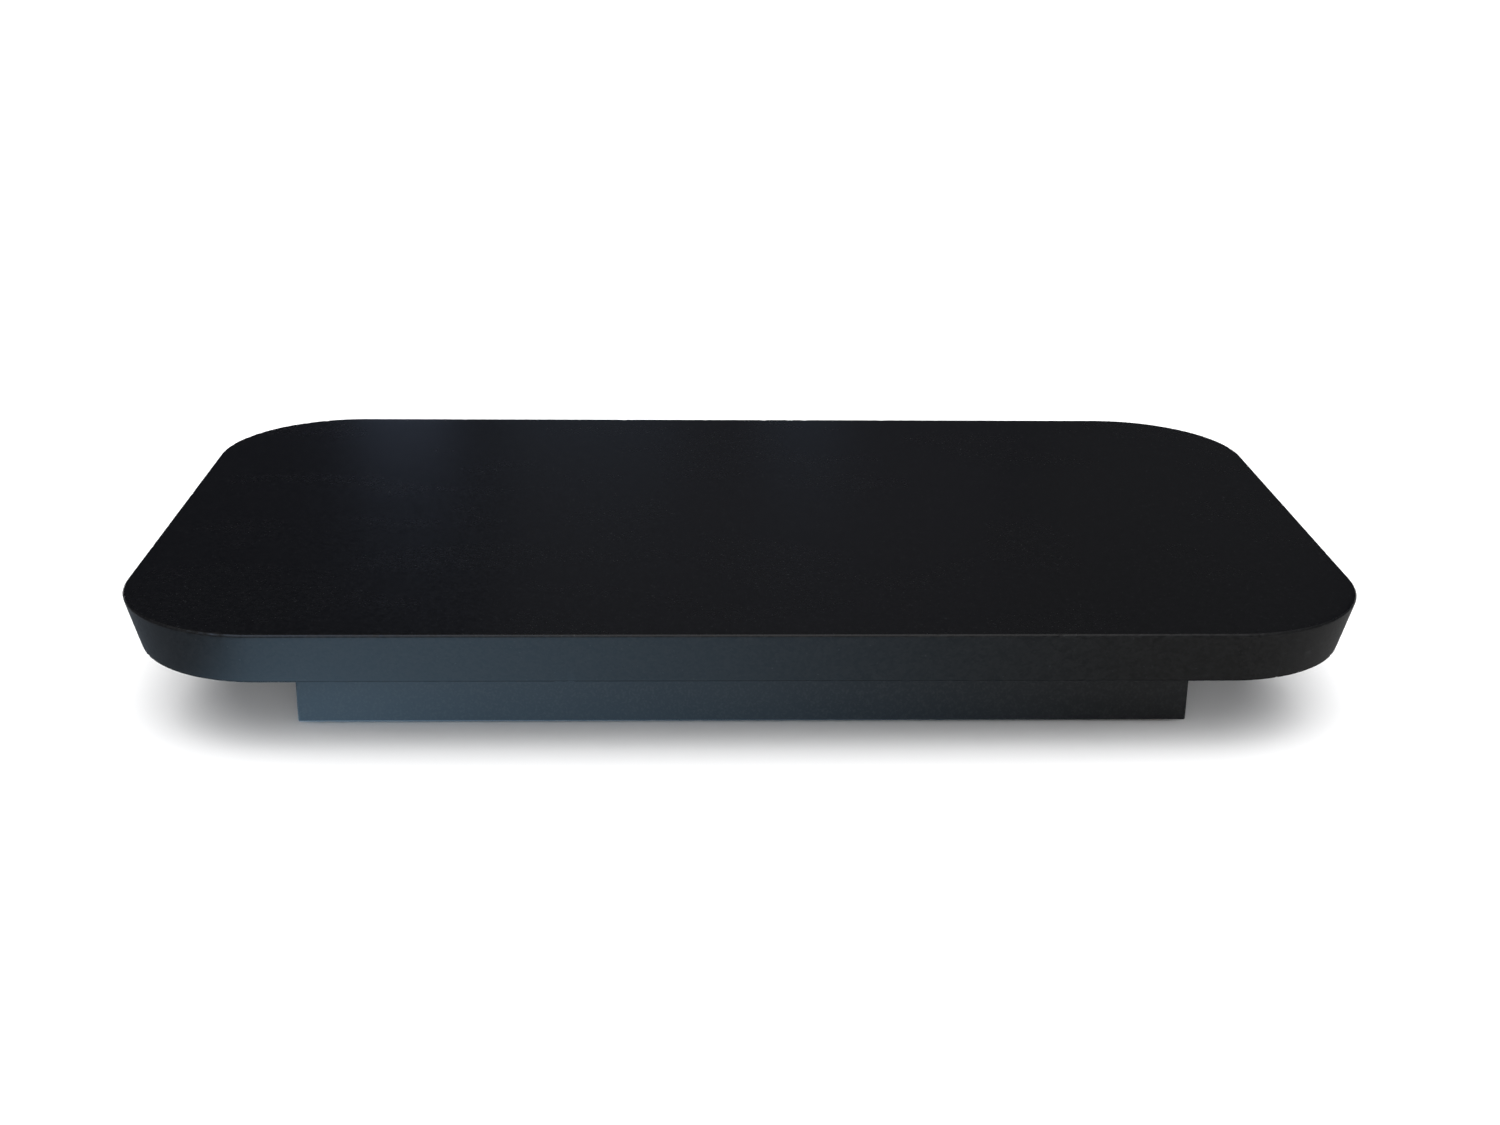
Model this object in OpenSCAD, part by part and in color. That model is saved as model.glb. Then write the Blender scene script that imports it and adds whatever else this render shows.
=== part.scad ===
// Granite tooling slab resting on a framed plinth.
// Millimetres. +X runs along the slab's length, +Y to the back, +Z up.
// The origin is on the bench, under the middle of the slab.

/* [Slab] */
// Length of the stone, left to right
slab_w = 650; // [600:10:900]
// Depth of the stone, front to back
slab_d = 380; // [340:10:560]
// Thickness of the stone
slab_t = 28.5; // [28:0.5:50]
// Corner radius of the top face, in plan
corner_r = 80; // [40:1:110]
// How far the sides lean in between the top edge and the bottom edge
undercut = 7; // [2:0.5:16]
// Chamfer on the stone's long edges
arris = 1; // [0.4:0.1:2]

/* [Plinth] */
// Length of the plinth over its boards
plinth_w = 470; // [450:5:560]
// Depth of the plinth over its boards
plinth_d = 280; // [260:5:320]
// Height of the plinth's boards
plinth_h = 40.5; // [37:0.5:60]
// Thickness of the plinth's boards
board_t = 18; // [16:1:22]
// Thickness of the board that carries the stone
sub_top_t = 12; // [12:1:15]
// Width of the cross rails
rail_t = 24; // [20:1:30]
// Distance between the middles of neighbouring cross rails
rail_pitch = 110; // [95:5:115]
// Side of the square corner blocks
block_s = 40; // [38:1:44]

/* [Feet, pads and pins] */
// How far the feet lift the plinth off the bench
foot_proud = 2; // [1:0.5:4]
// Height of a rubber foot
foot_h = 8; // [7:0.5:10]
// Diameter of a damping pad
pad_dia = 38; // [20:1:40]
// How far the pads stand proud of the plinth
pad_proud = 1; // [0.5:0.5:2]
// Diameter of a locating pin
pin_dia = 10; // [6:1:12]
// How far a locating pin reaches into the stone
pin_reach = 14; // [8:1:15]

/* [Hidden] */
$fn = 96;
eps = 1;                  // overshoot of a cutter past the face that it opens
ease = 0.8;               // chamfer along the plinth's outer edges
rebate_w = 9;             // ledge that the sub-top drops onto
fit_gap = 0.25;           // slack between the sub-top and its rebate
housing = 5;              // depth that a cross rail is let into the boards
glue_gap = 0.05;          // radial room round a pressed, glued or screwed piece
running_gap = 0.1;        // radial room between a pin and its bush

plinth_top = foot_proud + plinth_h;
slab_z = plinth_top + pad_proud;
ledge_z = plinth_top - sub_top_t;
rail_h = ledge_z - foot_h;
inner_x = plinth_w / 2 - board_t;
inner_y = plinth_d / 2 - board_t;

spline_t = 3;
spline_w = 16;
spline_at = 15;           // along the mitre, from the outer corner
spline_h = 26;

pad_t = 4;
pad_x = 186;
pad_y = 92;
pad_ease = 0.5;

bush_r = 8;
bush_len = 18;
bush_mouth = 1.2;         // lead-in chamfer of the bush
pin_below = 27;           // length of a pin under the plinth's top face
pin_ease = 1.5;

foot_r = 15;
foot_taper = 1.5;
foot_ease = 1;
foot_inset = 16;          // from the inner faces of the two boards
foot_recess_r = 6;
foot_recess_h = 4.5;
foot_hole_r = 2.2;
centre_foot_y = 100;
washer_r = 5.5;
washer_t = 1.2;

screw_r = 2;
screw_tip = 5;
screw_head_r = 4;
countersink_h = 2.4;
countersink_rim = 0.3;
pan_h = 2.4;
pan_ease = 0.8;
cross_w = 4.4;
cross_t = 0.9;
cross_deep = 1.6;
sub_top_screw_len = 28;
sub_top_screw_sunk = 0.2;
sub_top_screw_inset = 8;
rail_screw_y = [-56, -24, 24, 56];
block_screw_len = 36;
block_screw_grip = 25;    // wood of the block between the screw's head and the board
block_screw_along = 27;   // from the neighbouring board's inner face
block_screw_z = [13.5, 23.5]; // into the short boards, into the long boards
block_counterbore_r = 4.3;
block_chamfer = 8;
foot_screw_len = 20;

// Corners in turn, anticlockwise from above
corner_names = ["front_left", "front_right", "back_right", "back_left"];
corner_signs = [[-1, -1], [1, -1], [1, 1], [-1, 1]];
board_names = ["front", "right", "back", "left"];
side_names = ["left", "right"];
rail_names = ["left", "centre", "right"];
rail_x = [-rail_pitch, 0, rail_pitch];
pin_x = [-rail_pitch, rail_pitch];
foot_names = concat(corner_names, ["front_centre", "back_centre"]);
foot_at = concat(
    [for (s = corner_signs) [s.x * (inner_x - foot_inset), s.y * (inner_y - foot_inset)]],
    [[0, -centre_foot_y], [0, centre_foot_y]]
);
pad_column_x = [-pad_x, -rail_pitch, 0, rail_pitch, pad_x];
pad_names = [for (row = ["front", "back"]) for (i = [1:5]) str(row, "_", i)];
pad_at = [for (y = [-pad_y, pad_y]) for (x = pad_column_x) [x, y]];
sub_top_screw_at = concat(
    [for (s = corner_signs) [s.x * (inner_x - sub_top_screw_inset), s.y * (inner_y - sub_top_screw_inset)]],
    [for (x = rail_x) for (y = rail_screw_y) [x, y]]
);

// ---- Stone ----

// Half section of the stone through one side: 0 is the corner's centre, y is up
module edge_section() {
    foot = corner_r - undercut;
    polygon([
        [0, 0], [foot - arris, 0], [foot, arris],
        [corner_r, slab_t - arris], [corner_r - arris, slab_t], [0, slab_t]
    ]);
}

// Rounded slab: a core, four straight edges and four turned corners
module stone_blank() {
    cx = slab_w / 2 - corner_r;
    cy = slab_d / 2 - corner_r;
    translate([-cx, -cy, 0]) cube([2 * cx, 2 * cy, slab_t]);
    for (turn = [0, 180]) rotate(turn) {
        translate([cx, cy, 0]) rotate([90, 0, 0]) linear_extrude(2 * cy) edge_section();
        translate([-cx, cy, 0]) rotate([90, 0, 90]) linear_extrude(2 * cx) edge_section();
        translate([cx, cy, 0]) rotate_extrude(angle = 90) edge_section();
        translate([-cx, cy, 0]) rotate(90) rotate_extrude(angle = 90) edge_section();
    }
}

module granite_slab() {
    color("#1d2126") translate([0, 0, slab_z]) difference() {
        stone_blank();
        for (x = pin_x) translate([x, 0, -eps]) cylinder(h = bush_len + fit_gap + eps, r = bush_r + glue_gap);
    }
}

// Nylon sleeve cemented into the stone's underside, open downwards
module pin_bush(x) {
    bore = pin_dia / 2 + running_gap;
    color("#d9d6cb") translate([x, 0, slab_z]) rotate_extrude() polygon([
        [bore + bush_mouth, 0], [bush_r, 0], [bush_r, bush_len], [bore, bush_len], [bore, bush_mouth]
    ]);
}

// ---- Locating pins and pads ----

module locating_pin(x) {
    r = pin_dia / 2;
    bottom = plinth_top - pin_below;
    top = slab_z + pin_reach;
    color("#b9bcc0") translate([x, 0, 0]) rotate_extrude() polygon([
        [0, bottom], [r - pin_ease, bottom], [r, bottom + pin_ease],
        [r, top - pin_ease], [r - pin_ease, top], [0, top]
    ]);
}

module damping_pad(at) {
    r = pad_dia / 2;
    color("#26282b") translate([at.x, at.y, slab_z - pad_t]) rotate_extrude() polygon([
        [0, 0], [r, 0], [r, pad_t - pad_ease], [r - pad_ease, pad_t], [0, pad_t]
    ]);
}

// ---- Screws ----

// Half outline of a screw that points down: the head's points, then the shank and its tip
function screw_outline(head, len) = concat([[0, 0]], head, [[screw_r, screw_tip - len], [0, -len]]);

module cross_recess() {
    for (turn = [0, 90]) rotate(turn) {
        translate([-cross_w / 2, -cross_t / 2, -cross_deep]) cube([cross_w, cross_t, cross_deep + eps]);
    }
}

// Top of the head is at the origin
module countersunk_screw(len) {
    head = [[screw_head_r, 0], [screw_head_r, -countersink_rim], [screw_r, -countersink_h]];
    color("#c9c4ae") difference() {
        rotate_extrude() polygon(screw_outline(head, len));
        cross_recess();
    }
}

// Underside of the head is at the origin, and len is measured from there
module pan_screw(len) {
    rim = [[screw_head_r - pan_ease, 0], [screw_head_r, -pan_ease], [screw_head_r, -pan_h]];
    color("#c9c4ae") translate([0, 0, pan_h]) difference() {
        rotate_extrude() polygon(screw_outline(concat(rim, [[screw_r, -pan_h]]), len + pan_h));
        cross_recess();
    }
}

// Room for a screw's shank, down from the origin
module shank_hole(len) {
    translate([0, 0, -len - glue_gap]) cylinder(h = len + glue_gap + eps, r = screw_r + glue_gap);
}

// Room above a foot for its screw
module foot_screw_hole() {
    rotate([180, 0, 0]) shank_hole(foot_screw_len - foot_h + foot_recess_h);
}

// ---- Sub-top ----

module at_sub_top_screws() {
    for (at = sub_top_screw_at) translate([at.x, at.y, plinth_top - sub_top_screw_sunk]) children();
}

module sub_top_screws() {
    at_sub_top_screws() countersunk_screw(sub_top_screw_len);
}

// Plywood panel with a shallow seat for each pad and a hole for each pin and screw
module sub_top() {
    w = 2 * (inner_x + rebate_w - fit_gap);
    d = 2 * (inner_y + rebate_w - fit_gap);
    seat = pad_t - pad_proud;
    sink_r = screw_head_r + glue_gap;
    sink_h = countersink_h - countersink_rim;
    color("#b99668") difference() {
        translate([-w / 2, -d / 2, ledge_z]) cube([w, d, sub_top_t]);
        for (at = pad_at) translate([at.x, at.y, plinth_top - seat]) {
            cylinder(h = seat + eps, r = pad_dia / 2 + fit_gap);
        }
        for (x = pin_x) translate([x, 0, ledge_z - eps]) {
            cylinder(h = sub_top_t + 2 * eps, r = pin_dia / 2 + glue_gap);
        }
        at_sub_top_screws() {
            shank_hole(sub_top_t + eps);
            translate([0, 0, -countersink_h]) cylinder(h = sink_h, r1 = screw_r + glue_gap, r2 = sink_r);
            translate([0, 0, -countersink_rim]) cylinder(h = countersink_rim + eps, r = sink_r);
        }
    }
}

// ---- Plinth frame ----

// Section of a board: x from the outer face inwards, y is up
module board_section() {
    ledge = plinth_h - sub_top_t;
    lip = board_t - rebate_w;
    polygon([
        [ease, 0], [board_t, 0], [board_t, ledge], [lip, ledge],
        [lip, plinth_h], [ease, plinth_h], [0, plinth_h - ease], [0, ease]
    ]);
}

// Plan of a board, mitred at both ends, with its outer corners eased
module board_plan(len) {
    half = len / 2;
    polygon([
        [ease - half, 0], [half - ease, 0], [half - ease / 2, ease / 2],
        [half - board_t, board_t], [board_t - half, board_t], [ease / 2 - half, ease / 2]
    ]);
}

// The spline's place at the left end of a board, seen from the board's own frame
module spline_body(len, slack) {
    translate([-len / 2, 0, 0]) rotate(45) translate([spline_at - spline_t / 2, -spline_w / 2, 0]) {
        translate([-slack, -slack, -eps * sign(slack)]) {
            cube([spline_t + 2 * slack, spline_w + 2 * slack, spline_h + slack + eps * sign(slack)]);
        }
    }
}

// One board with its outer face on y = 0 and its bottom on z = 0
module board(len, housed) {
    hole_x = len / 2 - board_t - block_screw_along;
    hole_z = block_screw_z[housed ? 1 : 0] - foot_proud;
    difference() {
        intersection() {
            translate([-len / 2, 0, 0]) rotate([90, 0, 90]) linear_extrude(len) board_section();
            linear_extrude(plinth_h) board_plan(len);
        }
        spline_body(len, glue_gap);
        mirror([1, 0, 0]) spline_body(len, glue_gap);
        if (housed) for (x = rail_x) {
            translate([x - rail_t / 2, board_t - housing, foot_h - foot_proud]) {
                cube([rail_t, housing + eps, rail_h + eps]);
            }
        }
        for (x = [-hole_x, hole_x]) translate([x, board_t, hole_z]) rotate([-90, 0, 0]) {
            shank_hole(block_screw_len - block_screw_grip);
        }
    }
}

module plinth_board(i) {
    along_x = i % 2 == 0;
    len = along_x ? plinth_w : plinth_d;
    out = along_x ? plinth_d / 2 : plinth_w / 2;
    color("#2b3640") rotate(90 * i) translate([0, -out, foot_proud]) board(len, along_x);
}

// Puts a corner piece, drawn in the quadrant x > 0, y > 0, into corner i of the frame's inside
module in_corner(i) {
    s = corner_signs[i];
    translate([s.x * inner_x, s.y * inner_y, 0]) {
        mirror([s.x > 0 ? 1 : 0, 0, 0]) mirror([0, s.y > 0 ? 1 : 0, 0]) children();
    }
}

module mitre_spline(i) {
    color("#c8a878") rotate(90 * i) {
        along_x = i % 2 == 0;
        len = along_x ? plinth_w : plinth_d;
        out = along_x ? plinth_d / 2 : plinth_w / 2;
        translate([0, -out, foot_proud]) spline_body(len, 0);
    }
}

module cross_rail(i) {
    len = 2 * (inner_y + housing);
    outer = i != 1;
    color("#c79f6d") difference() {
        translate([rail_x[i] - rail_t / 2, -len / 2, foot_h]) cube([rail_t, len, rail_h]);
        at_sub_top_screws() shank_hole(sub_top_screw_len);
        if (outer) translate([rail_x[i], 0, plinth_top - pin_below - glue_gap]) {
            cylinder(h = pin_below, r = pin_dia / 2 + glue_gap);
        }
        for (at = foot_at) translate([at.x, at.y, foot_h]) foot_screw_hole();
    }
}

// The two screws of one corner block, each along its own board's normal
module at_block_screws() {
    translate([block_screw_grip, block_screw_along, block_screw_z[0]]) rotate([0, 90, 0]) children();
    translate([block_screw_along, block_screw_grip, block_screw_z[1]]) rotate([-90, 0, 0]) children();
}

module corner_block(i) {
    cut = block_s - block_chamfer;
    color("#c79f6d") difference() {
        in_corner(i) difference() {
            translate([0, 0, foot_h]) linear_extrude(rail_h) {
                polygon([[0, 0], [block_s, 0], [block_s, cut], [cut, block_s], [0, block_s]]);
            }
            at_block_screws() {
                shank_hole(block_screw_len);
                cylinder(h = block_s, r = block_counterbore_r);
            }
            translate([foot_inset, foot_inset, foot_h]) foot_screw_hole();
        }
        at_sub_top_screws() shank_hole(sub_top_screw_len);
    }
}

module block_screws() {
    for (i = [0:3]) in_corner(i) at_block_screws() pan_screw(block_screw_len);
}

// ---- Feet ----

module foot(at) {
    floor_r = foot_r - foot_taper;
    color("#1b1c1e") translate([at.x, at.y, 0]) rotate_extrude() polygon([
        [foot_recess_r, 0], [floor_r - foot_ease, 0], [floor_r, foot_ease], [foot_r, foot_h],
        [foot_hole_r, foot_h], [foot_hole_r, foot_recess_h], [foot_recess_r, foot_recess_h]
    ]);
}

module foot_washers() {
    color("#b9bcc0") for (at = foot_at) translate([at.x, at.y, foot_recess_h - washer_t]) difference() {
        cylinder(h = washer_t, r = washer_r);
        translate([0, 0, -eps]) cylinder(h = washer_t + 2 * eps, r = foot_hole_r);
    }
}

module foot_screws() {
    for (at = foot_at) translate([at.x, at.y, foot_recess_h - washer_t]) rotate([180, 0, 0]) {
        pan_screw(foot_screw_len);
    }
}

// ---- Nodes ----

granite_slab();
for (i = [0:1]) {
    pin_bush(pin_x[i]);
    locating_pin(pin_x[i]);
}
for (i = [0:9]) {
    damping_pad(pad_at[i]);
}
sub_top();
sub_top_screws();
for (i = [0:3]) {
    plinth_board(i);
    corner_block(i);
    mitre_spline(i);
}
for (i = [0:2]) {
    cross_rail(i);
}
block_screws();
for (i = [0:5]) {
    foot(foot_at[i]);
}
foot_washers();
foot_screws();
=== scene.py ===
"""Looks for a honed black granite slab resting on a painted plinth.

Metres, in the CAD model's frame: +X right along the slab, +Y to the back, +Z up from the bench.
"""
import math
import random

import bmesh
import bpy
from mathutils import Matrix, Vector, noise


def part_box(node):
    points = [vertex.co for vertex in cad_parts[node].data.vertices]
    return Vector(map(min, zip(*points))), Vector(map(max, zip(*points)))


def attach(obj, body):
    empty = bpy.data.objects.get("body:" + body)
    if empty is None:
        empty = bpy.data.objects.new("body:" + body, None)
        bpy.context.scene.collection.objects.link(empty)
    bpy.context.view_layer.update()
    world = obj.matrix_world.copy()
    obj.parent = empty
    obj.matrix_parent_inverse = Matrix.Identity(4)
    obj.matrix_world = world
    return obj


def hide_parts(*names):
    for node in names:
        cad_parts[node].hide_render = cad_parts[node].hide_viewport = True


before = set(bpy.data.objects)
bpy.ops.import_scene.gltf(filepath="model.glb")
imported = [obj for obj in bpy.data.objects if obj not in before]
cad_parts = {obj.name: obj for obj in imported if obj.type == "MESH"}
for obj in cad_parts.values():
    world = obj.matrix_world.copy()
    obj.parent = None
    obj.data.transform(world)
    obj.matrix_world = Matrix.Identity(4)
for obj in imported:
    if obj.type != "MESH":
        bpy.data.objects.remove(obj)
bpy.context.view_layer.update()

MM = 0.001
SEED = 7

# Stone, as designed
CORNER_R = 80 * MM
UNDERCUT = 7 * MM
ARRIS = 1 * MM

# Stone, as hand-finished: its rounded edges, and the chips and slight waver that lie on them
TOP_SOFTNESS = 0.6 * MM
FOOT_ROUND = 0.9 * MM
TOP_CHIPS = 90
TOP_CHIP_DEPTH = 0.3 * MM
FOOT_CHIPS = 60
FOOT_CHIP_DEPTH = 0.45 * MM
WAVER_DEPTH = 0.05 * MM
WAVER_LENGTH = 5 * MM

# Stone mesh: the step between its stations, and rings that keep its faces flat, as insets and as
# parts of the way down the side, with the share of the chips that each one takes
STATION_STEP = 1 * MM
TOP_INSETS = (7 * MM, 4 * MM, 1.9 * MM)
TOP_SHARES = (0, 0, 0.25)
SIDE_PARTS = (0.06, 0.3, 0.7, 0.94)
SIDE_SHARES = (0.35, 0, 0, 0.35)
FOOT_INSETS = (4 * MM, 6 * MM)

# Round pieces and holes about an upright axis, as designed
ROUND_SEGMENTS = 64
PIN_EASE = 1.5 * MM
BUSH_BORE_R = 5.1 * MM
BUSH_MOUTH = 1.2 * MM
BUSH_HOLE_ROOM = 0.05 * MM
BUSH_HOLE_DEPTH = 18.25 * MM
BUSH_HOLE_EASE = 0.4 * MM
PAD_EASE = 0.5 * MM
FOOT_TAPER = 1.5 * MM
FOOT_RECESS_R = 6 * MM
FOOT_RECESS_H = 4.5 * MM
FOOT_HOLE_R = 2.2 * MM

# Woods of the plinth: the plies of its sub-top, and how far the edges are rounded
PLY_COUNT = 9
BOARD_ROUND = 0.35 * MM
BEECH_ROUND = 0.8 * MM
SPLINE_ROUND = 0.1 * MM
SUB_TOP_ROUND = 0.4 * MM

# Meshes: closer points are one point, flatter faces are one face, and an edge is rounded where it
# is sharper and longer than this
SAME_PLACE = 0.001 * MM
SAME_FACE = math.radians(0.5)
SHARP_EDGE = math.radians(30)
LONG_EDGE = 3 * MM

# Angles past which an edge shades sharp: on curved pieces, and on flat ones, so that they stay flat
CREASE = math.radians(35)
FLAT_CREASE = math.radians(20)

# Camera, from the outline of the slab
CAMERA_AT = Vector((-0.0311, -1.0779, 0.4408))
CAMERA_PITCH = math.radians(20.41)
CAMERA_YAW = math.radians(-2.00)
CAMERA_ROLL = math.radians(0.71)
SENSOR_WIDTH = 36.0
CAMERA_LENS = 46.78

# Studio surfaces: the floor, the lift of the one that reflections see, and the white wall round them
FLOOR_RADIUS = 20.0
FLOOR_RINGS = (0.01, 0.04, 0.2, 1.0)
MIRRORED_LIFT = 0.05 * MM
BACKDROP_FOOT = -0.5
BACKDROP_TOP = 0.6 * FLOOR_RADIUS

# Room that the stone mirrors: dark, with a dim ceiling, and paler walls except behind the slab. An
# edge is where that change starts and ends, as the upward or backward part of a direction
ROOM_GLOW = (0.016, 0.018, 0.026)
CEILING_GLOW = (0.42, 0.42, 0.42)
CEILING_EDGE = (0.50, 0.95)
WALL_GLOW = (0.055, 0.057, 0.062)
WALL_EDGE = (0.30, 0.65)

# Soft light that reflections don't see
SKY_STRENGTH = 3.7
SKY_SOFTNESS = math.radians(85)
SKY_TILT = math.radians(14)
FILL_WATTS = 30
FILL_SIZE = (2.5, 1.5)
FILLS = {"front": (0, -3, 1.1), "left": (-3, -0.6, 0.9), "right": (3, -0.6, 0.9), "back": (0, 3, 1.1)}

# Dim panels that the top mirrors as faint streaks: place, size, watts and colour
PANELS = {
    "panel_middle": ((0.1, 2.6, 1.25), (1.05, 1.0), 0.108, (1.0, 0.97, 1.0)),
    "panel_right": ((0.98, 2.6, 1.2), (0.7, 1.0), 0.058, (1.0, 0.97, 0.84)),
    "streak_left": ((-0.58, 2.6, 0.5), (0.18, 0.4), 0.09, (0.52, 0.68, 1.0)),
    "streak_middle": ((-0.22, 2.65, 0.5), (0.35, 0.4), 0.055, (0.45, 0.68, 1.0)),
    "streak_right": ((0.20, 2.65, 0.5), (0.15, 0.4), 0.03, (0.45, 0.68, 1.0)),
}

# Panels overhead that only the arris is turned to mirror
ARRIS_GLOWS = {
    "arris_glow_left": ((-1.05, -0.95, 2.6), (1.1, 0.9), 8.0, (0.48, 0.67, 1.0)),
    "arris_glow_right": ((0.15, -0.95, 2.6), (1.3, 0.9), 4.5, (1.0, 1.0, 1.0)),
}
PANEL_TARGET = (0, 0, 0.07)


# ---- Materials ----

class Finish:
    """One procedural material. Sizes are metres on the piece, and constants sit on the shader itself."""

    def __init__(self, name, **constants):
        self.material = bpy.data.materials.new(name)
        self.material.use_nodes = True
        self.tree = self.material.node_tree
        self.shader = self.tree.nodes["Principled BSDF"]
        for socket, value in constants.items():
            self.shader.inputs[socket.replace("_", " ")].default_value = value
        place = self.tree.nodes.new("ShaderNodeTexCoord")
        self.place = place.outputs["Object"]
        self.facing = place.outputs["Normal"]

    def node(self, kind, settings=(), **inputs):
        """A new node with these settings, and with its inputs linked or set."""
        made = self.tree.nodes.new(kind)
        for name, value in dict(settings).items():
            setattr(made, name, value)
        for name, value in inputs.items():
            self.feed(made.inputs[name.replace("_", " ")], value)
        return made

    def feed(self, socket, value):
        if isinstance(value, bpy.types.NodeSocket):
            self.tree.links.new(value, socket)
        else:
            socket.default_value = value

    def stretched(self, stretch):
        """The place on the piece, with each axis shrunk by its stretch, so that a pattern grows longer."""
        scale = tuple(1 / s for s in stretch)
        return self.node("ShaderNodeMapping", Vector=self.place, Scale=scale).outputs["Vector"]

    def grain(self, size, detail=2.0, stretch=(1, 1, 1), distortion=0.0):
        """Noise from 0 to 1, with features of about that size."""
        return self.node(
            "ShaderNodeTexNoise", Vector=self.stretched(stretch), Scale=1 / size, Detail=detail,
            Distortion=distortion,
        ).outputs["Fac"]

    def cells(self, size):
        """A random value from 0 to 1 for each cell of about that size."""
        found = self.node("ShaderNodeTexVoronoi", Vector=self.place, Scale=1 / size)
        return self.node("ShaderNodeSeparateColor", Color=found.outputs["Color"]).outputs["Red"]

    def axis(self, letter, of=None):
        """One coordinate of the place on the piece, or of another vector."""
        parts = self.node("ShaderNodeSeparateXYZ", Vector=of or self.place)
        return parts.outputs[letter]

    def remap(self, value, low, high, to_low=0.0, to_high=1.0):
        """Value eased from to_low, where it is low, to to_high, where it is high."""
        made = self.node("ShaderNodeMapRange", {"interpolation_type": "SMOOTHSTEP"}, Value=value)
        for name, number in (("From Min", low), ("From Max", high), ("To Min", to_low), ("To Max", to_high)):
            made.inputs[name].default_value = number
        return made.outputs["Result"]

    def math(self, operation, a, b=0.0):
        made = self.node("ShaderNodeMath", {"operation": operation})
        self.feed(made.inputs[0], a)
        self.feed(made.inputs[1], b)
        return made.outputs["Value"]

    def product(self, *values):
        result = values[0]
        for value in values[1:]:
            result = self.math("MULTIPLY", result, value)
        return result

    def blend(self, factor, a, b):
        """Colour a where factor is 0 and colour b where it is 1."""
        made = self.node("ShaderNodeMix", {"data_type": "RGBA"})
        self.feed(made.inputs["Factor"], factor)
        for socket, value in ((made.inputs[6], a), (made.inputs[7], b)):
            self.feed(socket, value if isinstance(value, bpy.types.NodeSocket) else (*value, 1.0))
        return made.outputs[2]

    def bump(self, height, depth, under=None):
        made = self.node("ShaderNodeBump", Height=height, Distance=depth)
        if under:
            self.feed(made.inputs["Normal"], under)
        return made.outputs["Normal"]

    def wear(self, colour, roughness=None, normal=None):
        """Gives the shader what varies over the surface, and returns the material."""
        for name, value in (("Base Color", colour), ("Roughness", roughness), ("Normal", normal)):
            if value is not None:
                self.feed(self.shader.inputs[name], value)
        return self.material


def granite_honed():
    """Fine-grained black stone, honed: dark crystals, rare pale flecks, a soft sheen and faint marks.

    The top is honed finer than the sides, so it shines more and looks blacker. The sides' paler colour and
    stronger crystals are partly painted light, making up for the less light that falls on them.
    """
    finish = Finish("granite_honed", Specular_IOR_Level=0.39)
    crystal = finish.cells(1.4 * MM)
    fine = finish.grain(0.8 * MM, detail=3)
    smears = finish.remap(finish.grain(45 * MM, detail=2.5, stretch=(2, 1, 1)), 0.35, 0.65)
    fleck = finish.remap(finish.cells(0.7 * MM), 0.996, 0.9995)
    marks = scuffs(finish)

    mottle = finish.math("ADD", finish.product(crystal, 0.65), finish.product(fine, 0.35))
    top = finish.blend(mottle, (0.0018, 0.0018, 0.0019), (0.0038, 0.0038, 0.0041))
    # Partly painted light: the sides are paler, with stronger crystals, both for their coarser hone and to
    # make up for the less light that falls on them
    side = finish.blend(mottle, (0.0004, 0.0004, 0.0004), (0.0075, 0.0075, 0.0077))
    upward = finish.remap(finish.axis("Z", finish.facing), 0.5, 0.9)
    body = finish.blend(upward, side, top)
    body = finish.blend(fleck, body, (0.014, 0.015, 0.016))
    body = finish.blend(marks, body, (0.035, 0.036, 0.037))

    # The foot's edge was only rubbed down coarsely, so it shines less
    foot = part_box("granite_slab")[0].z
    coarse = finish.remap(finish.axis("Z"), foot + 1.4 * MM, foot + 0.7 * MM, to_high=0.35)
    rough = finish.math("ADD", finish.remap(crystal, 0, 1, 0.38, 0.44), coarse)
    rough = finish.math("SUBTRACT", rough, finish.product(upward, 0.18))
    rough = finish.math("ADD", rough, finish.product(smears, 0.02))
    rough = finish.math("ADD", rough, finish.product(marks, 0.25))
    normal = finish.bump(crystal, 0.001 * MM)
    normal = finish.bump(fine, 0.0015 * MM, normal)
    normal = finish.bump(finish.grain(25 * MM, detail=1), 0.008 * MM, normal)
    return finish.wear(body, rough, normal)


def scuffs(finish):
    """Thin pale rub marks low on the stone's front right corner, 0 to 1."""
    low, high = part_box("granite_slab")
    near_x = finish.remap(finish.axis("X"), high.x - 62 * MM, high.x - 45 * MM)
    near_y = finish.remap(finish.axis("Y"), low.y + 62 * MM, low.y + 30 * MM)
    near_z = finish.remap(finish.axis("Z"), high.z - 5 * MM, high.z - 9 * MM)
    threads = finish.remap(finish.grain(1.4 * MM, detail=4, stretch=(9, 9, 1)), 0.55, 0.68)
    patches = finish.remap(finish.grain(9 * MM, detail=2), 0.52, 0.64)
    return finish.product(near_x, near_y, near_z, threads, patches, 0.6)


def granite_sawn():
    """The stone's underside as it left the saw: greyer, rougher, with shallow straight saw marks."""
    finish = Finish("granite_sawn", Specular_IOR_Level=0.4)
    crystal = finish.cells(1.5 * MM)
    marks = finish.grain(3.2 * MM, detail=3, stretch=(60, 1, 1))
    mottle = finish.math("ADD", finish.product(crystal, 0.5), finish.product(marks, 0.5))
    body = finish.blend(mottle, (0.022, 0.023, 0.025), (0.048, 0.050, 0.053))
    normal = finish.bump(marks, 0.05 * MM)
    normal = finish.bump(finish.grain(0.7 * MM, detail=3), 0.03 * MM, normal)
    return finish.wear(body, finish.remap(crystal, 0, 1, 0.55, 0.72), normal)


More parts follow.
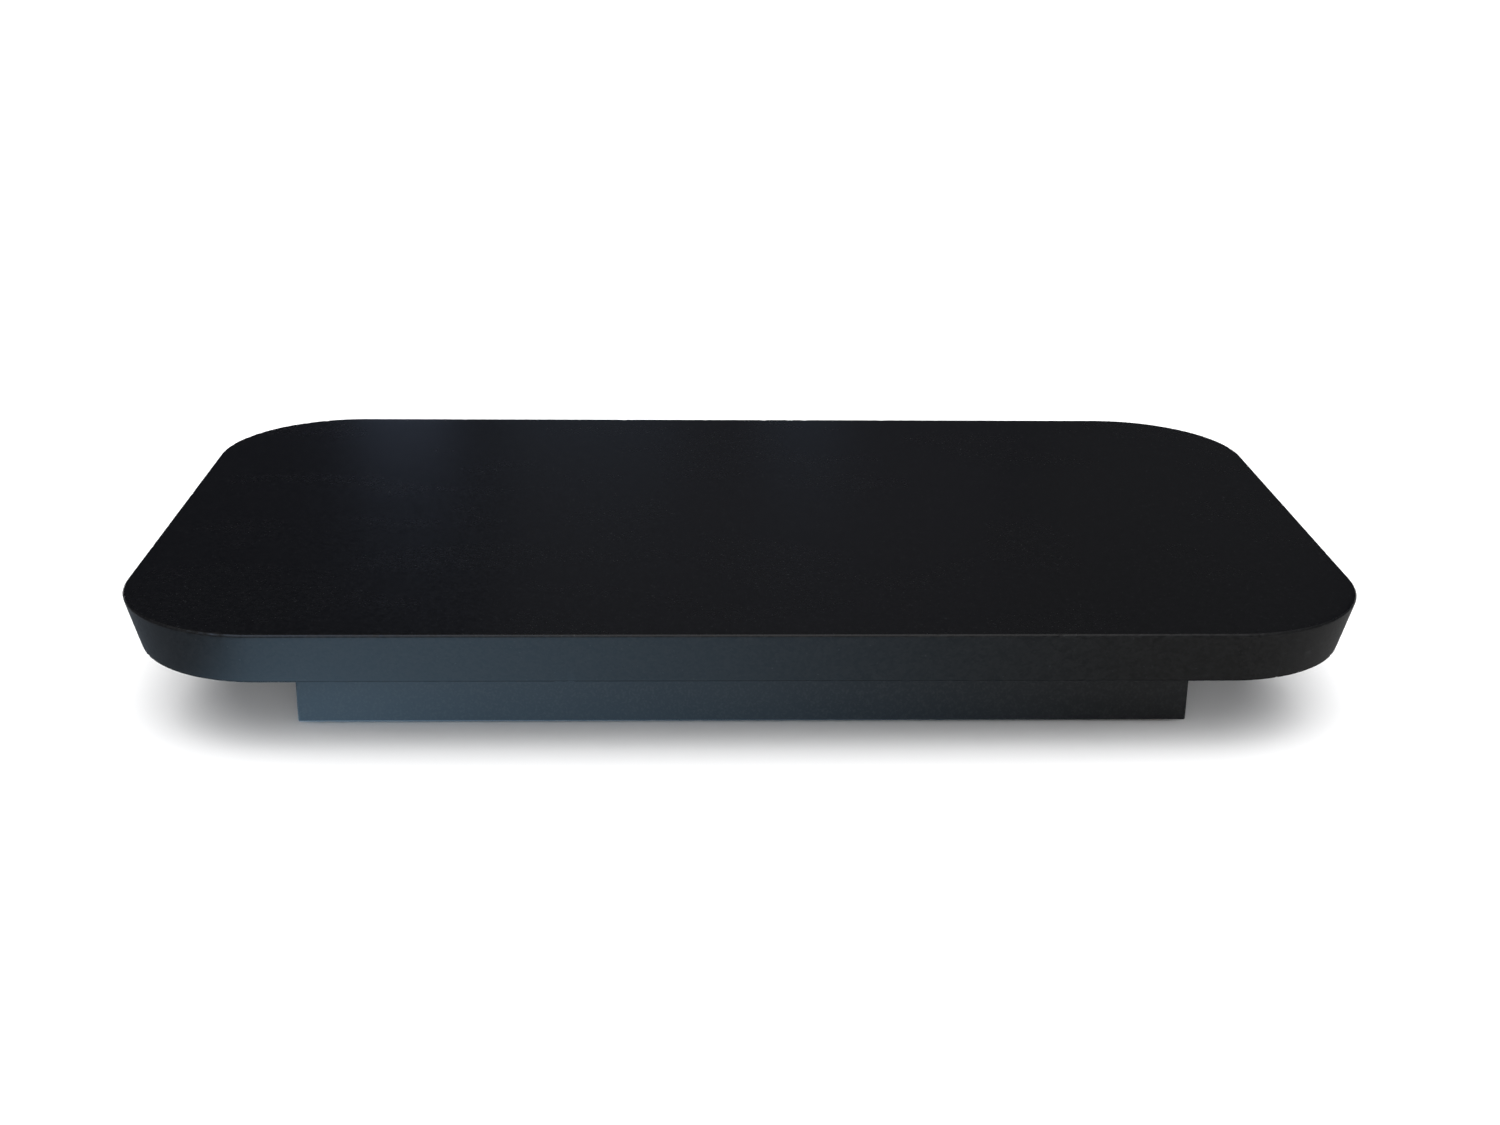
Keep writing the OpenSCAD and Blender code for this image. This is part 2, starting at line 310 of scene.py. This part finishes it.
def birch_face(finish, along):
    """Colour and pores of rotary-cut birch, with the grain running along an axis."""
    stretch = (16, 1, 1) if along == "X" else (1, 16, 1)
    figure = finish.grain(13 * MM, detail=5, stretch=stretch, distortion=1.2)
    pores = finish.grain(0.5 * MM, detail=2, stretch=stretch)
    colour = finish.blend(finish.remap(figure, 0.3, 0.7), (0.50, 0.345, 0.19), (0.64, 0.47, 0.29))
    colour = finish.blend(finish.remap(pores, 0.60, 0.78, to_high=0.35), colour, (0.30, 0.18, 0.085))
    return colour, pores


def plies(finish, low, thickness):
    """1 on the darker plies of a level plywood's edge and 0 on the paler ones."""
    wobble = finish.product(finish.grain(20 * MM, detail=1), 0.12 * MM)
    depth = finish.math("ADD", finish.math("SUBTRACT", finish.axis("Z"), low), wobble)
    wave = finish.math("SINE", finish.product(depth, math.pi * PLY_COUNT / thickness))
    return finish.remap(wave, -0.25, 0.25)


def painted_board(name, out):
    """Birch plywood board: satin black paint outside and on its edges, bare wood on its inner face."""
    letter = "X" if out.x else "Y"
    along = "Y" if letter == "X" else "X"
    finish = Finish(name, Specular_IOR_Level=0.53)
    bare = birch_face(finish, along)[0]
    stipple = finish.grain(1.3 * MM, detail=3)
    cloud = finish.grain(40 * MM, detail=3)
    paint = finish.blend(cloud, (0.0070, 0.0076, 0.0084), (0.0110, 0.0118, 0.0128))
    paint = finish.blend(finish.remap(stipple, 0.45, 0.70), paint, (0.019, 0.020, 0.021))

    inward = finish.axis(letter, finish.facing)
    inward = finish.product(inward, -out.x if letter == "X" else -out.y)
    is_bare = finish.remap(inward, 0.6, 0.8)
    colour = finish.blend(is_bare, paint, bare)
    rough = finish.math("ADD", finish.remap(stipple, 0.2, 0.8, 0.36, 0.46), finish.product(is_bare, 0.25))
    normal = finish.bump(stipple, 0.03 * MM)
    normal = finish.bump(finish.grain(14 * MM, detail=2, stretch=(3, 3, 1)), 0.05 * MM, normal)
    return finish.wear(colour, rough, normal)


def birch_plywood():
    """The sub-top: birch faces and edge plies."""
    low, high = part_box("sub_top")
    finish = Finish("birch_plywood", Specular_IOR_Level=0.4)
    face, pores = birch_face(finish, "X")
    dark_ply = plies(finish, low.z, high.z - low.z)
    edge = finish.blend(dark_ply, (0.52, 0.36, 0.20), (0.24, 0.14, 0.07))
    upright = finish.math("ABSOLUTE", finish.axis("Z", finish.facing))
    colour = finish.blend(finish.remap(upright, 0.8, 0.5), face, edge)
    rough = finish.remap(finish.grain(6 * MM), 0.3, 0.7, 0.55, 0.68)
    return finish.wear(colour, rough, finish.bump(pores, 0.03 * MM))


def beech(name, along):
    """Straight-grained beech with short dark rays."""
    stretch = {"X": (22, 1, 1), "Y": (1, 22, 1), "Z": (1, 1, 22)}[along]
    ray_stretch = {"X": (7, 1, 1), "Y": (1, 7, 1), "Z": (1, 1, 7)}[along]
    finish = Finish(name, Specular_IOR_Level=0.4)
    figure = finish.grain(7 * MM, detail=4, stretch=stretch, distortion=0.5)
    rays = finish.remap(finish.grain(0.8 * MM, detail=1, stretch=ray_stretch), 0.62, 0.72)
    colour = finish.blend(finish.remap(figure, 0.3, 0.7), (0.47, 0.27, 0.135), (0.61, 0.39, 0.21))
    colour = finish.blend(finish.product(rays, 0.55), colour, (0.26, 0.13, 0.055))
    return finish.wear(colour, finish.remap(figure, 0.3, 0.7, 0.5, 0.62), finish.bump(figure, 0.03 * MM))


def neoprene():
    """Matt black sheet rubber with talc in its pores."""
    finish = Finish("neoprene", Specular_IOR_Level=0.3)
    pores = finish.grain(0.6 * MM, detail=3)
    talc = finish.remap(finish.grain(7 * MM, detail=5), 0.5, 0.75, to_high=0.6)
    colour = finish.blend(talc, (0.018, 0.019, 0.020), (0.060, 0.062, 0.064))
    return finish.wear(colour, finish.remap(pores, 0.3, 0.7, 0.75, 0.9), finish.bump(pores, 0.05 * MM))


def moulded_rubber():
    """The feet: black rubber, dulled by dust low down."""
    finish = Finish("moulded_rubber", Specular_IOR_Level=0.35)
    skin = finish.grain(0.9 * MM, detail=3)
    dust = finish.product(finish.remap(finish.axis("Z"), 3 * MM, 0.0), finish.remap(skin, 0.4, 0.7))
    colour = finish.blend(finish.product(dust, 0.5), (0.012, 0.012, 0.013), (0.070, 0.066, 0.060))
    return finish.wear(colour, finish.remap(skin, 0.3, 0.7, 0.55, 0.7), finish.bump(skin, 0.03 * MM))


def turned_metal(name, colour, shade, roughness):
    """Bright metal with fine rings left by the lathe."""
    finish = Finish(name, Metallic=0.75)
    rings = finish.grain(0.25 * MM, detail=2, stretch=(60, 60, 1))
    tarnish = finish.remap(finish.grain(4 * MM, detail=4), 0.45, 0.7)
    body = finish.blend(tarnish, colour, shade)
    rough = finish.math("ADD", finish.product(rings, 0.12), finish.product(tarnish, 0.1))
    return finish.wear(body, finish.math("ADD", rough, roughness), finish.bump(rings, 0.003 * MM))


def nylon():
    """Natural nylon, slightly waxy and translucent, with turning rings in its mouth."""
    finish = Finish("nylon", Subsurface_Weight=0.25, Subsurface_Scale=0.002)
    rings = finish.grain(0.4 * MM, detail=2, stretch=(40, 40, 1))
    stain = finish.remap(finish.grain(5 * MM, detail=3), 0.45, 0.7)
    colour = finish.blend(stain, (0.70, 0.67, 0.58), (0.58, 0.54, 0.44))
    return finish.wear(colour, finish.remap(rings, 0.3, 0.7, 0.38, 0.5), finish.bump(rings, 0.02 * MM))


def floor_paper():
    """Plain pale studio floor."""
    finish = Finish("floor_paper", Specular_IOR_Level=0.0, Roughness=1.0)
    mottle = finish.grain(0.4, detail=2)
    return finish.wear(finish.blend(mottle, (0.90, 0.90, 0.90), (0.92, 0.92, 0.92)))


def floor_in_gloss():
    """The floor as the black faces mirror it, all painted light: grey in front, a painted cool window glow,
    paler behind.
    """
    finish = Finish(
        "floor_in_gloss", Specular_IOR_Level=0.0, Roughness=1.0, Emission_Color=(0.42, 0.71, 1.0, 1)
    )
    x = finish.axis("X")
    y = finish.axis("Y")

    # The window light is painted: a glow on the floor that is no lamp, in front of the plinth. It begins at
    # the left end, where it is a little stronger close to the plinth, and fades away to the right
    begun = finish.remap(x, -0.34, -0.24)
    fading = finish.remap(x, 0.24, -0.31)
    in_front = finish.remap(y, -0.10, -0.14)
    by_corner = finish.product(finish.remap(x, -0.12, -0.24), finish.remap(y, -0.23, -0.18))
    stronger = finish.math("ADD", finish.product(by_corner, 0.22), 1.0)
    painted_window_light = finish.product(begun, fading, in_front, stronger, 1.95)
    finish.feed(finish.shader.inputs["Emission Strength"], painted_window_light)

    # Painted light in the floor's colour as well: a cool tint painted at the left, and a paler floor behind
    painted_tint_at_left = finish.remap(x, -0.20, -0.34)
    behind = finish.remap(y, -0.10, 0.16)
    front = finish.blend(painted_tint_at_left, (0.17, 0.17, 0.17), (0.13, 0.152, 0.18))
    return finish.wear(finish.blend(behind, front, (0.55, 0.55, 0.55)))


# ---- Mesh tools ----

def filleted(points, radii, segments=4):
    """A closed outline with each corner rounded to its radius, or left as it is where that is 0."""
    outline = []
    for i, (point, radius) in enumerate(zip(points, radii)):
        corner = Vector(point)
        if not radius:
            outline.append(corner)
            continue
        before = (Vector(points[i - 1]) - corner).normalized()
        after = (Vector(points[(i + 1) % len(points)]) - corner).normalized()
        half = before.angle(after) / 2
        centre = corner + (before + after).normalized() * radius / math.sin(half)
        reach = radius / math.tan(half)
        start = (corner + before * reach - centre).normalized()
        end = (corner + after * reach - centre).normalized()
        outline += [centre + start.slerp(end, k / segments) * radius for k in range(segments + 1)]
    return outline


def bridge(mesh, ring, other, material=0):
    """Quads between two closed rings of as many vertices, facing the same way all round."""
    for i in range(len(ring)):
        j = (i + 1) % len(ring)
        mesh.faces.new((ring[i], ring[j], other[j], other[i])).material_index = material


def piece(name, mesh, materials, body, node, crease=CREASE):
    """Turns mesh into a shown piece that rides on a body and stands for its CAD node."""
    bmesh.ops.recalc_face_normals(mesh, faces=mesh.faces)
    data = bpy.data.meshes.new(name)
    mesh.to_mesh(data)
    mesh.free()
    for material in materials:
        data.materials.append(material)
    data.shade_smooth()
    data.set_sharp_from_angle(angle=crease)
    made = bpy.data.objects.new(name, data)
    bpy.context.scene.collection.objects.link(made)
    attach(made, body)
    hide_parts(node)
    return made


def circle(mesh, at, radius, height, segments=ROUND_SEGMENTS):
    """A level ring of new vertices about at."""
    return [
        mesh.verts.new((at.x + radius * math.cos(a), at.y + radius * math.sin(a), height))
        for a in (2 * math.pi * k / segments for k in range(segments))
    ]


def turned(name, outline, at, material, body, node):
    """A solid turned about an upright axis through at; outline is closed, as (radius, height) points."""
    mesh = bmesh.new()
    rings = []
    for radius, height in outline:
        if radius < SAME_PLACE:
            rings.append([mesh.verts.new((at.x, at.y, height))] * ROUND_SEGMENTS)
        else:
            rings.append(circle(mesh, at, radius, height))
    for ring, other in zip(rings, rings[1:] + rings[:1]):
        for i in range(ROUND_SEGMENTS):
            j = (i + 1) % ROUND_SEGMENTS
            corners = list(dict.fromkeys((ring[i], ring[j], other[j], other[i])))
            if len(corners) > 2:
                mesh.faces.new(corners)
    return piece(name, mesh, [material], body, node)


def finished(node, rounding, material, body):
    """A finished copy of a CAD node: whole faces, with its long outside edges softened."""
    mesh = bmesh.new()
    mesh.from_mesh(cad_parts[node].data)
    bmesh.ops.remove_doubles(mesh, verts=mesh.verts, dist=SAME_PLACE)
    bmesh.ops.dissolve_limit(mesh, angle_limit=SAME_FACE, verts=mesh.verts, edges=mesh.edges)
    edges = [
        e for e in mesh.edges
        if e.is_manifold and e.is_convex and e.calc_face_angle() > SHARP_EDGE
        and e.calc_length() > LONG_EDGE
    ]
    bmesh.ops.bevel(
        mesh, geom=edges, offset=rounding, offset_type="OFFSET", segments=3, profile=0.5,
        affect="EDGES", clamp_overlap=True,
    )
    return piece(f"{node}_finished", mesh, [material], body, node, crease=FLAT_CREASE)


# ---- Stone ----

def stations_round(half_x, half_y, radius, step):
    """(point, outward normal) pairs about step apart, anticlockwise round a rounded rectangle."""
    stations = []
    corner_x, corner_y = half_x - radius, half_y - radius
    corners = [(corner_x, corner_y), (-corner_x, corner_y), (-corner_x, -corner_y), (corner_x, -corner_y)]
    straights = [2 * corner_y, 2 * corner_x] * 2
    for i, (corner, straight) in enumerate(zip(map(Vector, corners), straights)):
        start = math.radians(90 * i)
        out = Vector((math.cos(start), math.sin(start)))
        along = Vector((-out.y, out.x))
        count = round(straight / step)
        for k in range(count):
            stations.append((corner + out * radius - along * straight * (1 - k / count), out))
        count = round(radius * math.pi / 2 / step)
        for k in range(count):
            angle = start + math.pi / 2 * k / count
            out_here = Vector((math.cos(angle), math.sin(angle)))
            stations.append((corner + out_here * radius, out_here))
    return stations


def chip_depths(stations, count, deepest, rng):
    """How far the arris is knocked back at each station, by a fine waver and by small chips."""
    depths = [
        WAVER_DEPTH * (1 + noise.noise(Vector((p.x, p.y, 0)) / WAVER_LENGTH)) for p, _ in stations
    ]
    for _ in range(count):
        middle = rng.randrange(len(stations))
        reach = rng.choice((1, 1, 2, 2, 3))
        depth = deepest * rng.uniform(0.2, 1.0) ** 2
        for k in range(-reach, reach + 1):
            edge = 1 - (k / (reach + 0.5)) ** 2
            i = (middle + k) % len(stations)
            depths[i] = max(depths[i], depth * edge * rng.uniform(0.7, 1.0))
    return depths


def slab_rows(thick):
    """Half section from the top's flat to the underside's, as ((inset, height), share of the chips)."""
    lean = UNDERCUT / (thick - 2 * ARRIS)
    section = [
        (TOP_INSETS[0], thick), (ARRIS, thick), (0, thick - ARRIS),
        (UNDERCUT + ARRIS * lean, 0), (UNDERCUT + FOOT_INSETS[1], 0),
    ]
    segments = 4
    rounded = filleted(section, (0, TOP_SOFTNESS, TOP_SOFTNESS, FOOT_ROUND, 0), segments)
    edge_points = 2 * (segments + 1)
    top_edge, foot_edge = rounded[1:1 + edge_points], rounded[1 + edge_points:-1]
    side = [top_edge[-1].lerp(foot_edge[0], t) for t in SIDE_PARTS]
    rows = [(Vector((inset, thick)), share) for inset, share in zip(TOP_INSETS, TOP_SHARES)]
    rows += [(point, 1) for point in top_edge]
    rows += list(zip(side, SIDE_SHARES))
    rows += [(point, 1) for point in foot_edge]
    rows += [(Vector((UNDERCUT + inset, 0)), 0) for inset in FOOT_INSETS]
    return rows


def slab_ring(mesh, stations, depths, point, share, floor, upper):
    """One ring round the stone, knocked back from the nearer edge by its share of the chips."""
    ring = []
    for (at, out), depth in zip(stations, depths):
        back = depth * share
        spot = at - out * (point.x + back)
        height = floor + point.y + (-back if upper else back)
        ring.append(mesh.verts.new((spot.x, spot.y, height)))
    return ring


def slab():
    """The stone: rounded corners, sides that lean in, hand-eased edges with small chips, two blind holes."""
    low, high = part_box("granite_slab")
    thick = high.z - low.z
    rng = random.Random(SEED)
    stations = stations_round(high.x, high.y, CORNER_R, STATION_STEP)
    top_depths = chip_depths(stations, TOP_CHIPS, TOP_CHIP_DEPTH, rng)
    foot_depths = chip_depths(stations, FOOT_CHIPS, FOOT_CHIP_DEPTH, rng)

    mesh = bmesh.new()
    rings = []
    for point, share in slab_rows(thick):
        upper = point.y > thick / 2
        depths = top_depths if upper else foot_depths
        rings.append(slab_ring(mesh, stations, depths, point, share, low.z, upper))
    for ring, other in zip(rings, rings[1:]):
        bridge(mesh, ring, other)
    mesh.faces.new(rings[0])

    sawn = 1
    rims = [rings[-1]]
    for bush in ("pin_bush_left", "pin_bush_right"):
        rims.append(blind_hole(mesh, bush, low.z, sawn))
    fill_flat(mesh, rims, sawn)
    return piece(
        "granite_slab_stone", mesh, [granite_honed(), granite_sawn()], "slab", "granite_slab"
    )


def fill_flat(mesh, rims, material):
    """Faces that close the underside between its outer rim and the mouths of its holes."""
    edges = [
        edge for rim in rims for i, corner in enumerate(rim)
        for edge in corner.link_edges if rim[i - 1] in edge.verts
    ]
    before = set(mesh.faces)
    bmesh.ops.triangle_fill(mesh, use_beauty=True, use_dissolve=False, edges=edges, normal=(0, 0, -1))
    for face in set(mesh.faces) - before:
        face.material_index = material


def blind_hole(mesh, bush, floor, material):
    """A drilled hole for a bush, up from the stone's underside; returns its mouth's vertices."""
    bush_low, bush_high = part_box(bush)
    at = (bush_low + bush_high) / 2
    radius = (bush_high.x - bush_low.x) / 2 + BUSH_HOLE_ROOM
    mouth = circle(mesh, at, radius + BUSH_HOLE_EASE, floor)
    neck = circle(mesh, at, radius, floor + BUSH_HOLE_EASE)
    end = circle(mesh, at, radius, floor + BUSH_HOLE_DEPTH)
    bridge(mesh, mouth, neck, material)
    bridge(mesh, neck, end, material)
    mesh.faces.new(end).material_index = material
    return mouth


# ---- Turned pieces ----

def middle(node):
    """Centre, lowest and highest point, and radius of a round CAD node."""
    low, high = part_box(node)
    return (low + high) / 2, low.z, high.z, (high.x - low.x) / 2


def pins_and_bushes():
    steel = turned_metal("ground_stainless", (0.56, 0.57, 0.58), (0.48, 0.49, 0.50), 0.26)
    plastic = nylon()
    for side in ("left", "right"):
        node = f"locating_pin_{side}"
        at, low, high, r = middle(node)
        outline = filleted(
            [
                (0, low), (r - PIN_EASE, low), (r, low + PIN_EASE),
                (r, high - PIN_EASE), (r - PIN_EASE, high), (0, high),
            ],
            [0] + [0.8 * MM] * 4 + [0],
        )
        turned(f"{node}_turned", outline, at, steel, "plinth", node)

        node = f"pin_bush_{side}"
        at, low, high, r = middle(node)
        outline = filleted(
            [
                (BUSH_BORE_R + BUSH_MOUTH, low), (r, low), (r, high),
                (BUSH_BORE_R, high), (BUSH_BORE_R, low + BUSH_MOUTH),
            ],
            [0.3 * MM, 0.3 * MM, 0.2 * MM, 0.2 * MM, 0.6 * MM],
        )
        turned(f"{node}_turned", outline, at, plastic, "slab", node)


def pads():
    rubber = neoprene()
    for row in ("front", "back"):
        for i in range(1, 6):
            node = f"damping_pad_{row}_{i}"
            at, low, high, r = middle(node)
            outline = filleted(
                [(0, low), (r, low), (r, high - PAD_EASE), (r - PAD_EASE, high), (0, high)],
                [0, 0.2 * MM, 0.3 * MM, 0.3 * MM, 0],
            )
            turned(f"{node}_cut", outline, at, rubber, "plinth", node)


def feet():
    rubber = moulded_rubber()
    for place in ("front_left", "front_right", "back_right", "back_left", "front_centre", "back_centre"):
        node = f"foot_{place}"
        at, low, high, r = middle(node)
        outline = filleted(
            [
                (FOOT_RECESS_R, low), (r - FOOT_TAPER, low), (r, high),
                (FOOT_HOLE_R, high), (FOOT_HOLE_R, FOOT_RECESS_H), (FOOT_RECESS_R, FOOT_RECESS_H),
            ],
            [0.4 * MM, 1.2 * MM, 0.4 * MM, 0, 0.1 * MM, 0.3 * MM],
        )
        turned(f"{node}_moulded", outline, at, rubber, "plinth", node)


# ---- Plinth ----

def plinth():
    outward = {
        "front": Vector((0, -1, 0)), "right": Vector((1, 0, 0)),
        "back": Vector((0, 1, 0)), "left": Vector((-1, 0, 0)),
    }
    for side, out in outward.items():
        node = f"plinth_board_{side}"
        paint = painted_board(f"painted_board_{side}", out)
        finished(node, BOARD_ROUND, paint, "plinth")
    rail_wood = beech("beech_rail", "Y")
    for place in ("left", "centre", "right"):
        finished(f"cross_rail_{place}", BEECH_ROUND, rail_wood, "plinth")
    block_wood = beech("beech_block", "X")
    strip_wood = beech("spline_wood", "Z")
    for place in ("front_left", "front_right", "back_right", "back_left"):
        finished(f"corner_block_{place}", BEECH_ROUND, block_wood, "plinth")
        finished(f"mitre_spline_{place}", SPLINE_ROUND, strip_wood, "plinth")
    finished("sub_top", SUB_TOP_ROUND, birch_plywood(), "plinth")


def fasteners():
    """The screws and washers keep their CAD shape."""
    zinc = turned_metal("zinc_plated", (0.66, 0.62, 0.48), (0.52, 0.48, 0.36), 0.32)
    steel = turned_metal("washer_steel", (0.55, 0.56, 0.57), (0.45, 0.46, 0.47), 0.3)
    for node in ("sub_top_screws", "block_screws", "foot_screws"):
        paint_cad(node, zinc)
    paint_cad("foot_washers", steel)


def paint_cad(node, material):
    """Gives a CAD node that is shown as it is its material."""
    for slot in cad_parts[node].material_slots:
        slot.material = material


# ---- Studio ----

def studio_floors():
    """A pale floor and a white wall far round it, and the darker floor that only reflections see."""
    shown = round_floor("studio_floor", floor_paper(), 0.0)
    backdrop()
    shown.visible_glossy = False
    mirrored = round_floor("studio_floor_in_gloss", floor_in_gloss(), MIRRORED_LIFT)
    mirrored.visible_camera = False
    mirrored.visible_diffuse = False
    mirrored.visible_shadow = False


def round_floor(name, material, height):
    """A disc whose rings lie closer together near the object."""
    rings = [(FLOOR_RADIUS * t, height) for t in FLOOR_RINGS]
    return stage_mesh(name, rings, material, closed=True)


def backdrop():
    """An even white wall round the floor, seen by the camera only."""
    wall = Finish("backdrop", Base_Color=(0, 0, 0, 1), Specular_IOR_Level=0.0, Emission_Strength=1.0)
    rings = [(FLOOR_RADIUS, BACKDROP_FOOT), (FLOOR_RADIUS, BACKDROP_TOP)]
    made = stage_mesh("studio_backdrop", rings, wall.material)
    made.visible_diffuse = False
    made.visible_glossy = False
    made.visible_shadow = False


def stage_mesh(name, profile, material, closed=False, segments=96):
    """A round surface from (radius, height) rings, which isn't part of the object."""
    mesh = bmesh.new()
    rings = [circle(mesh, Vector((0, 0)), radius, height, segments) for radius, height in profile]
    for ring, other in zip(rings, rings[1:]):
        bridge(mesh, ring, other)
    if closed:
        mesh.faces.new(rings[0])
    bmesh.ops.recalc_face_normals(mesh, faces=mesh.faces)
    data = bpy.data.meshes.new(name)
    mesh.to_mesh(data)
    mesh.free()
    data.materials.append(material)
    made = bpy.data.objects.new(name, data)
    bpy.context.scene.collection.objects.link(made)
    return made


def studio_world():
    """The room that the stone mirrors: a dim ceiling, and walls that are darkest behind the slab."""
    world = bpy.data.worlds.new("studio")
    world.use_nodes = True
    tree = world.node_tree
    place = tree.nodes.new("ShaderNodeTexCoord")
    split = tree.nodes.new("ShaderNodeSeparateXYZ")
    tree.links.new(place.outputs["Generated"], split.inputs["Vector"])
    both = tree.nodes.new("ShaderNodeVectorMath")
    for i, (letter, edge, colours) in enumerate((
        ("Z", CEILING_EDGE, (ROOM_GLOW, CEILING_GLOW)),
        ("Y", WALL_EDGE, (WALL_GLOW, (0, 0, 0))),
    )):
        ramp = tree.nodes.new("ShaderNodeValToRGB")
        ramp.color_ramp.interpolation = "EASE"
        for stop, position, colour in zip(ramp.color_ramp.elements, edge, colours):
            stop.position = position
            stop.color = (*colour, 1.0)
        tree.links.new(split.outputs[letter], ramp.inputs["Fac"])
        tree.links.new(ramp.outputs["Color"], both.inputs[i])
    tree.links.new(both.outputs["Vector"], tree.nodes["Background"].inputs["Color"])
    bpy.context.scene.world = world


def sky_light():
    """Wide soft light from above, tilted towards the camera's side, that reflections don't see."""
    data = bpy.data.lights.new("sky_light", "SUN")
    data.energy = SKY_STRENGTH
    data.angle = SKY_SOFTNESS
    lamp = bpy.data.objects.new("sky_light", data)
    bpy.context.scene.collection.objects.link(lamp)
    lamp.rotation_euler = (SKY_TILT, 0, 0)
    lamp.visible_glossy = False


def softbox(name, at, target, size, watts, colour=(1, 1, 1)):
    """A rectangular area light at a place, pointing at a target."""
    data = bpy.data.lights.new(name, "AREA")
    data.shape = "RECTANGLE"
    data.size, data.size_y = size
    data.energy = watts
    data.color = colour
    lamp = bpy.data.objects.new(name, data)
    bpy.context.scene.collection.objects.link(lamp)
    lamp.location = at
    lamp.rotation_euler = (Vector(target) - Vector(at)).to_track_quat("-Z", "Y").to_euler()
    return lamp


def studio_lights():
    """Soft fill that reflections don't see, and dim panels that the stone mirrors."""
    sky_light()
    for name, at in FILLS.items():
        softbox(f"fill_{name}", at, (0, 0, 0), FILL_SIZE, FILL_WATTS).visible_glossy = False
    for name, (at, size, watts, colour) in PANELS.items():
        softbox(name, at, PANEL_TARGET, size, watts, colour)
    for name, (at, size, watts, colour) in ARRIS_GLOWS.items():
        softbox(name, at, PANEL_TARGET, size, watts, colour).visible_diffuse = False


def studio_camera():
    """A camera at the photograph's angle."""
    data = bpy.data.cameras.new("camera")
    data.sensor_fit = "HORIZONTAL"
    data.sensor_width = SENSOR_WIDTH
    data.lens = CAMERA_LENS
    camera = bpy.data.objects.new("camera", data)
    bpy.context.scene.collection.objects.link(camera)
    turn = Matrix.Rotation(CAMERA_YAW, 4, "Z") @ Matrix.Rotation(math.pi / 2 - CAMERA_PITCH, 4, "X")
    camera.matrix_world = Matrix.Translation(CAMERA_AT) @ turn @ Matrix.Rotation(CAMERA_ROLL, 4, "Z")
    bpy.context.scene.camera = camera


studio_camera()
studio_world()
studio_floors()
studio_lights()
slab()
pins_and_bushes()
pads()
feet()
plinth()
fasteners()
bpy.context.scene.view_settings.view_transform = "Standard"
